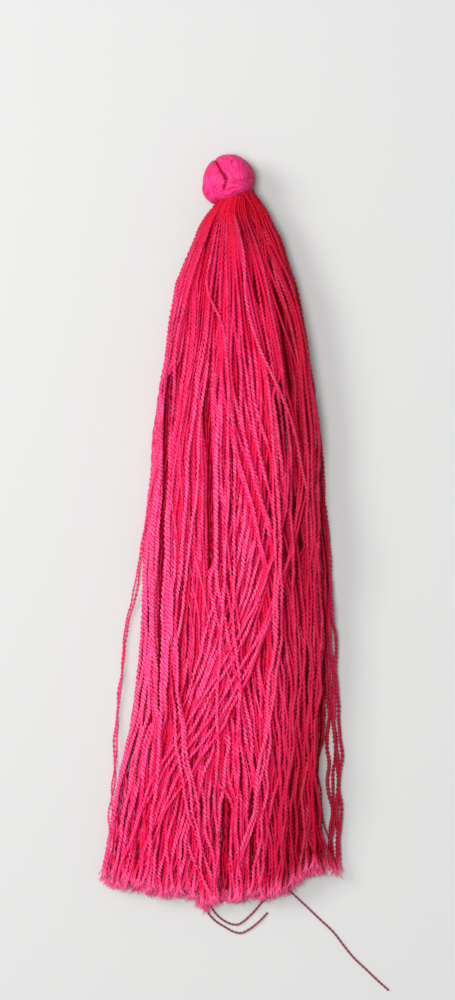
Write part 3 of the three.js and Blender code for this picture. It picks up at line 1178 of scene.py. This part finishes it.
    def stray(self, index: int, share: float, up: float) -> Array:
        """How far a thread strays from a straight fall at each station.

        Args:
            index: The thread's number.
            share: Its place across the neck.
            up: Its height in the neck.

        Returns:
            Distances across the skirt.
        """
        free = (1 - share**2) * max(0, min(1, self.drift_depth + up))
        away = smoothstep(self.stations, self.drift_from, self.stations[-1])
        stray = self.drift * free * scatter(index, 17) * away
        for wave in self.waves:
            stray = stray + self.calm * wave.at(self.stations, index)
        curled = smoothstep(self.stations, self.curl_from, self.stations[-1])
        return stray + curled * self.curl.at(self.stations, index)

    def part(self, path: Array) -> Array:
        """Moves a thread out of the valleys.

        Args:
            path: Its place across the skirt at each station.

        Returns:
            Its place when it stands aside.
        """
        for valley in VALLEYS:
            middle, opened = valley.opening(self.stations)
            off = (path - middle) / valley.width
            side = math.copysign(1, (off * opened).sum())
            beyond = np.maximum(side * off, 0)
            path = path + side * opened * valley.width * (np.exp(-beyond) - np.minimum(side * off, 0))
        return path

    def bed_threads(self) -> Iterator[Thread]:
        """The main bundle, evenly packed at the neck.

        Yields:
            Its threads.
        """
        for index in range(self.bed):
            reach = math.sqrt((index + 0.5) / self.bed)
            share = reach * math.cos(index * GOLDEN_ANGLE)
            up = reach * math.sin(index * GOLDEN_ANGLE)
            fanned = self.fanned(share)
            turn = TAU * self.locks * fanned + self.column("sway") + self.layer_shift * up
            pull = self.gather * self.column("gather") * np.sin(turn) / (TAU * self.locks)
            turn = TAU * self.small_locks * fanned + self.small_sway * self.stations + self.small_shift * up
            small_pull = self.small_gather * self.column("settled") * np.sin(turn)
            pull = pull + small_pull / (TAU * self.small_locks)
            path = (fanned + pull) * self.side(share) + self.stray(index, share, up)
            yield Thread(share, up, path, shows=False)

    def face_lock_threads(self) -> Iterator[Thread]:
        """The locks that show: threads that lie side by side, so that each lock looks like one broad ribbon.

        Yields:
            The threads, in the order in which they are laid.
        """
        half_width = self.face_pitch * self.face_threads / 2
        loose = self.face_own + (1 - self.face_own) * smoothstep(self.stations, *self.face_loosens)
        opened = np.clip(self.stations / self.face_opens, self.root_open, 1)
        opened = opened + self.hem_open * smoothstep(self.stations, *self.hem_opens)
        level, differs = self.face_levels
        for lock in sorted(range(self.face_locks), key=lambda lock: scatter(lock + 1, 6)):
            share = (2 * lock + 1) / self.face_locks - 1
            up = self.on_top(share) * (level + differs * scatter(lock + 1, 6))
            wave = (1 - share**2) * self.face_wave.at(self.stations, lock)
            middle = self.fanned(share) * (self.side(share) - half_width * self.calm) + self.calm * wave
            shared = self.stray(self.FACE_STRAYS + lock, *self.face_stray)
            for index in range(self.face_threads):
                seat = index - (self.face_threads - 1) / 2
                own = self.stray(self.FACE_STEP * lock + index, *self.face_stray)
                path = self.part(middle + self.face_pitch * seat * opened + shared + loose * (own - shared))
                path = np.clip(path, -self.column("left"), self.column("right"))
                yield Thread(self.face_root * share + self.face_root_step * seat, up, path, lock=lock)

    def under_threads(self) -> Iterator[Thread]:
        """Threads under the bundle, evenly spread over the surface.

        Yields:
            The threads.
        """
        for index in range(self.under):
            share = self.under_reach * (2 * (index + 0.5) / self.under - 1)
            up = self.under_level - self.under_mix * scatter(index, 3)
            path = share * self.side(share) + self.under_stray * self.stray(index, share, -1)
            yield Thread(share, up, path, shows=False)

    def loose_threads(self) -> Iterator[Thread]:
        """The loose threads, each crossing from its place in the bundle to its place at the hem.

        Yields:
            The threads, in the order in which they are laid.
        """
        places = [(lock, index) for lock in LOOSE for index in range(lock.threads)]
        for number, (lock, index) in enumerate(places):
            seat = index - (lock.threads - 1) / 2
            share = lock.neck + seat * self.loose_step
            up = self.on_top(share)
            hem = lock.hem + seat * lock.spread / lock.threads
            fallen = share * self.side(share)
            path = fallen + (hem - fallen) * smoothstep(self.stations, lock.start, lock.end)
            yield Thread(share, up, self.part(path + self.stray(number, 1, up)))

    def top_threads(self) -> Iterator[Thread]:
        """The locks on top of all the rest.

        Yields:
            The threads, in the order in which they are laid.
        """
        places = [(lock, index) for lock in TOP_LOCKS for index in range(lock.threads)]
        opened = np.clip(self.stations / self.calm_above, self.root_open, 1)
        for number, (lock, index) in enumerate(places, self.TOP_STRAYS):
            along, across = np.array(lock.line).T
            slide = self.slide * scatter(index + 1, 19) * self.calm
            slid = np.clip(self.stations + slide, 0, along[-1])
            line = smooth_through(along, across[:, None], slid)[:, 0]
            seat = (index + 0.5) / lock.threads - 0.5
            path = line + seat * lock.width * opened + self.stray(number, 1, 1)
            share = path[0] / self.root_radius
            place = self.face_locks + TOP_LOCKS.index(lock)
            yield Thread(share, self.on_top(share), path, lock=place, size=lock.size, bright=lock.bright)

    def wisp_threads(self) -> Iterator[Thread]:
        """Single threads that wander over the locks.

        Yields:
            The threads, in the order in which they are laid.
        """
        for index in range(self.wisps):
            share = self.wisp_reach * scatter(index + 1, 8)
            free = (1 - share**2) * smoothstep(self.stations, *self.wisp_frees)
            path = self.fanned(share) * self.side(share) + free * self.wisp_wave.at(self.stations, index + 1)
            path = self.part(path + self.stray(index + self.WISP_STRAYS, *self.wisp_stray))
            yield Thread(share, self.on_top(share), path, size=self.wisp_thin if index % 2 else 1.0)

    @staticmethod
    def nearest(path: Array, others: Array) -> Array:
        """The least sideways distance to other paths, within half a step of each station.

        Args:
            path: A thread's place across the skirt at each station.
            others: One such row for each other thread.

        Returns:
            One row of distances for each other thread.
        """
        here = path - others
        before = np.concatenate([here[:, :1], here[:, :-1]], axis=1)
        after = np.concatenate([here[:, 1:], here[:, -1:]], axis=1)
        before = np.where(np.isnan(before), here, before)
        halfway = np.stack([before + here, 2 * here, after + here]) / 2
        crosses = halfway.min(axis=0) * halfway.max(axis=0) <= 0
        return np.where(crosses, 0, np.abs(halfway).min(axis=0))

    def rest(self, path: Array, paths: Array, heights: Array) -> Array:
        """How high a thread lies on the surface, the tying thread's ends and the threads already laid.

        Args:
            path: The thread's place across the skirt at each station.
            paths: One such row for each thread already laid.
            heights: And their heights.

        Returns:
            Its height at each station.
        """
        swell = self.column("swell")
        layer = self.column("layer")
        lowest = self.twist.width / 2 * swell
        across = self.nearest(path, self.ties.paths(self.stations)) / (self.pitch + self.gap)
        rise = (layer + self.gap) * np.sqrt(np.clip(1 - across**2, 0, 1))
        lowest = np.maximum(lowest, np.where(across < 1, self.ties.diameter / 2 + rise, 0).max(axis=0))
        if len(paths):
            across = self.nearest(path, paths) / (self.pitch * swell)
            rise = layer * swell * np.clip(1 - across**2, 0, 1)
            lowest = np.maximum(lowest, np.where(across < 1, heights + rise, 0).max(axis=0))
        return lowest

    def lay(self, threads: list[Thread]) -> None:
        """Lays the threads one after another: each rests on the surface or on those already laid.

        Args:
            threads: The threads, the lowest first. Their heights are set.
        """
        paths = np.array([thread.path for thread in threads])
        heights = np.zeros(paths.shape)
        levels: dict[int, Array] = {}
        for order, thread in enumerate(threads):
            if thread.lock >= 0 and thread.lock not in levels:
                mates = [mate.path for mate in threads if mate.lock == thread.lock]
                resting = [self.rest(path, paths[:order], heights[:order]) for path in mates]
                levels[thread.lock] = np.mean(resting, axis=0)
            lowest = self.rest(thread.path, paths[:order], heights[:order])
            lowest = np.maximum(lowest, levels.get(thread.lock, 0))
            for _ in range(self.span):
                lowest[1:-1] = np.maximum(lowest[1:-1], (lowest[:-2] + lowest[2:]) / 2)
            heights[order] = lowest
            thread.heights = lowest
        for thread in threads:
            beside = np.abs(paths - thread.path) < self.shade_reach
            thread.depths = np.where(beside, heights - thread.heights, 0).max(axis=0)

    def spine(self, thread: Thread, order: int, twist: Twist) -> tuple[Array, Array]:
        """The middle line of a thread, from the neck to its cut end.

        Args:
            thread: A thread that has been laid.
            order: Its place in the order of laying.
            twist: How the thread is twisted, which sets the steps along it.

        Returns:
            The middle of each ring, and the thread's size there as a share of its full one.
        """
        middle_x = -self.head.neck_drop * self.head.neck_normal[0]
        root_x = middle_x + self.root_radius * thread.share * math.cos(self.head.neck_tilt)
        root_z = self.head.height + self.root_radius * max(thread.up, -self.on_top(thread.share))
        root_along = NECK_Y - self.head.neck_edge(root_x) + self.neck_gap
        knots = np.concatenate([[root_along], self.stations[self.stations > root_along + self.root_room]])
        kept = -len(knots) + 1
        lay_x = np.concatenate([[root_x], thread.path[kept:]])
        settled = np.concatenate([[0], self.column("settled")[kept:]])
        lay_z = root_z + (np.concatenate([[root_z], thread.heights[kept:]]) - root_z) * settled
        swell = np.concatenate([[self.root_swell], np.maximum(self.column("swell")[kept:], self.root_swell)])

        across, reach = np.array(self.HEM).T
        cut = np.interp(thread.path[-1], across, reach) + self.hem_uneven * scatter(order, 3)
        rings = int((cut - root_along) / twist.ring_step) + 1
        along = np.linspace(root_along, cut, rings)
        x, z, size = smooth_through(knots, np.stack([lay_x, lay_z, swell], axis=1), along).T
        x += smoothstep(along, *self.kinks_from) * sum(kink.at(along, order) for kink in self.kinks)
        x += smoothstep(along, *self.hem_curls_from) * self.hem_curl.at(along, order)
        size *= thread.size * (1 + self.uneven * scatter(order, 31))
        z = np.maximum(z, twist.width / 2 * size)
        return np.stack([x, NECK_Y - along, z], axis=1), size

    @staticmethod
    def sunken(across: Array, along: Array) -> Array:
        """How deep threads of the main bundle lie in the valleys.

        Args:
            across: Places across the skirt.
            along: The places' distances from the neck.

        Returns:
            Shares from 0 to 1.
        """
        deepest = np.zeros(len(across))
        for valley in VALLEYS:
            middle, opened = valley.opening(along)
            deepest = np.maximum(deepest, opened * np.exp(-(((across - middle) / valley.width) ** 2)))
        return deepest

    def marks(
        self, thread: Thread, order: int, twist: Twist, spine: Array, rings: Array
    ) -> dict[str, Array]:
        """What the material reads along a thread.

        Args:
            thread: A thread that has been laid.
            order: Its place in the order of laying.
            twist: How it is twisted.
            spine: Its middle line.
            rings: Its corners.

        Returns:
            By name, the share of the lighter colour, with painted light and shade, how deep in a groove or
            gap each corner is, for the painted red light there, how much painted shade it has and how frayed
            it is.
        """
        tone_and_shade = self.tone_and_shade
        across, along = spine[:, 0], NECK_Y - spine[:, 1]
        levels = np.interp(along, self.stations, thread.depths / self.column("layer"))
        reach = np.interp(along, self.stations, self.column("left"))
        covered = 1 - smoothstep(-across / reach, *tone_and_shade.left_edge)
        lit = np.exp(-levels * covered / tone_and_shade.levels)
        # painted shade towards the neck, towards the hem and on the right
        lit *= (1 - zone_shade(UNLIT_NECK, across, along)) * (1 - zone_shade(UNLIT_SIDES, across, along))
        # painted shade on the deep threads in the valleys
        sunken = (not thread.shows) * self.sunken(across, along)
        lit = np.maximum(lit * (1 - tone_and_shade.sunken * sunken), thread.bright)

        # the painted red light of the gaps, down each thread's lower side, and under the head
        flank = smoothstep((spine[:, None, 2] - rings[..., 2]) / twist.width, 0, tone_and_shade.flank)
        under_head = zone_shade(UNDER_HEAD, across, along)
        groove = np.clip(tone_and_shade.ply_groove * twist.grooves() + flank + under_head[:, None], 0, 1)

        light = tone_and_shade.light + tone_and_shade.uneven * scatter(order, 13)
        light += tone_and_shade.lock_uneven * (thread.lock >= 0) * scatter(thread.lock + 1, 23)
        tint = light * (tone_and_shade.least + (1 - tone_and_shade.least) * lit)
        run = np.arange(len(spine)) * twist.ring_step + tone_and_shade.mottle_shift * scatter(order, 41)
        tint *= 1 + tone_and_shade.mottle * np.prod([np.sin(wave * run) for wave in tone_and_shade.mottle_waves], axis=0)
        # a painted highlight on the plies and painted shade in their grooves
        tint = np.clip(tint[:, None] * (tone_and_shade.ridge - tone_and_shade.ridge_fall * groove), 0, 1)

        shade = np.clip(zone_shade(SHADED, across, along) + tone_and_shade.sunken_shade * sunken, 0, 1)
        fray = tone_and_shade.tip * np.clip(1 - (run[-1] - run) / tone_and_shade.tip_length, 0, 1)
        return {"tint": tint, "groove": groove, "shade": shade[:, None], "fray": fray[:, None]}

    def build(self) -> list[Object]:
        """Lays, twists and frays the threads.

        Returns:
            The skirt's pieces, from left to right, and its frayed hem.
        """
        threads = sorted([*self.under_threads(), *self.bed_threads()], key=lambda thread: thread.up)
        for kind in (self.face_lock_threads, self.wisp_threads, self.loose_threads, self.top_threads):
            threads += kind()
        self.lay(threads)
        ends = len(threads) * self.fray.filaments
        columns = math.ceil(math.sqrt(ends))
        tuft = Bundle("hem_fray", columns, math.ceil(ends / columns))
        ranks = np.argsort(np.argsort([thread.path[len(thread.path) // 2] for thread in threads]))
        size = math.ceil(len(threads) / self.groups)
        bundles = [Bundle(f"skirt_threads_{group + 1}", size) for group in range(self.groups)]
        for order, thread in enumerate(threads):
            twist = self.twist if thread.shows else self.plain_twist
            twist = replace(twist, turn=twist.turn * (1 + self.uneven * scatter(order, 37)))
            spine, swell = self.spine(thread, order, twist)
            rings = twist.sweep(spine, swell, scatter(order, 11))
            bundles[ranks[order] // size].add(rings, self.marks(thread, order, twist, spine, rings))
            self.fray.add(tuft, spine, order)
        material = self.finish.material()
        pieces = [bundle.piece(material) for bundle in (*bundles, tuft)]
        for piece in pieces:
            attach(piece, "root")
            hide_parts("skirt")
        return pieces


@dataclass(frozen=True)
class Lamp:
    """A soft square light that faces the tassel."""

    name: str
    place: Triple
    size: float  # length of its side
    watts: float


LAMPS = (
    Lamp("key", (-430, 130, 390), 260, 2.6),
    Lamp("fill", (-90, -30, 640), 200, 3.8),
)


@dataclass
class Studio:
    """A pale floor, soft light from the upper left and a camera that looks straight down."""

    pixels_per_mm: float = 5.65  # of the photograph
    head_pixel: Pair = (229.0, 182.0)  # where it has the middle of the head
    picture: tuple[int, int] = (455, 1000)
    camera_height: float = 700.0
    sensor: float = 36.0
    floor_size: float = 1600.0
    sky: str = "#F2F2F4"
    sky_strength: float = 0.5
    finish: FloorPaint = field(default_factory=FloorPaint)

    def middle(self) -> Pair:
        """Finds the middle of the picture.

        Returns:
            Its place across and along the tassel.
        """
        x = (self.picture[0] / 2 - self.head_pixel[0]) / self.pixels_per_mm
        y = (self.head_pixel[1] - self.picture[1] / 2) / self.pixels_per_mm
        return x, y

    def place_camera(self) -> None:
        """Puts the camera straight above the middle of the picture."""
        lens = bpy.data.cameras.new("camera")
        lens.sensor_width = self.sensor
        lens.lens = self.sensor * self.camera_height / (self.picture[1] / self.pixels_per_mm)
        camera = put("camera", lens)
        camera.location = [c * MM for c in (*self.middle(), self.camera_height)]
        bpy.context.scene.camera = camera

    def place_floor(self) -> None:
        """Lays the floor, which isn't part of the tassel."""
        sheet = bmesh.new()
        bmesh.ops.create_grid(sheet, x_segments=1, y_segments=1, size=self.floor_size / 2 * MM)
        mesh = bpy.data.meshes.new("floor")
        sheet.to_mesh(mesh)
        sheet.free()
        mesh.materials.append(self.finish.material())
        put("floor", mesh)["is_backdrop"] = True

    def place_light(self, lamp: Lamp) -> None:
        """Hangs a light.

        Args:
            lamp: What the light is, and where it hangs.
        """
        glow = bpy.data.lights.new(lamp.name, "AREA")
        glow.size = lamp.size * MM
        glow.energy = lamp.watts
        light = put(lamp.name, glow)
        light.location = [c * MM for c in lamp.place]
        aim = np.array([*self.middle(), 0]) - np.array(lamp.place)
        tilt = math.acos(-aim[2] / np.linalg.norm(aim))
        light.rotation_euler = (tilt, 0, math.atan2(aim[1], aim[0]) - math.pi / 2)

    def build(self) -> None:
        """Sets up the camera, floor and lights."""
        self.place_camera()
        self.place_floor()
        for lamp in LAMPS:
            self.place_light(lamp)
        world = bpy.data.worlds.new("studio")
        world.use_nodes = True
        light = world.node_tree.nodes["Background"]
        light.inputs["Color"].default_value = linear(self.sky)
        light.inputs["Strength"].default_value = self.sky_strength
        bpy.context.scene.world = world
        bpy.context.scene.view_settings.view_transform = "Standard"


def main() -> None:
    """Builds the studio and the tassel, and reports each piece."""
    logging.basicConfig(level=logging.INFO, format="%(name)s %(message)s")
    Studio().build()
    ties = TieEnds()
    head = HeadKnot()
    for piece in (*ties.build(), head.build(), *Skirt(head, ties).build()):
        log.info("%s: %d faces", piece.name, len(piece.data.polygons))
    sizes = {"cad": CAD_BOX, "visual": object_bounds()}
    plain = {name: [[float(c) for c in corner] for corner in box] for name, box in sizes.items()}
    log.info("sizes: %s", plain)


if __name__ == "__main__":
    main()
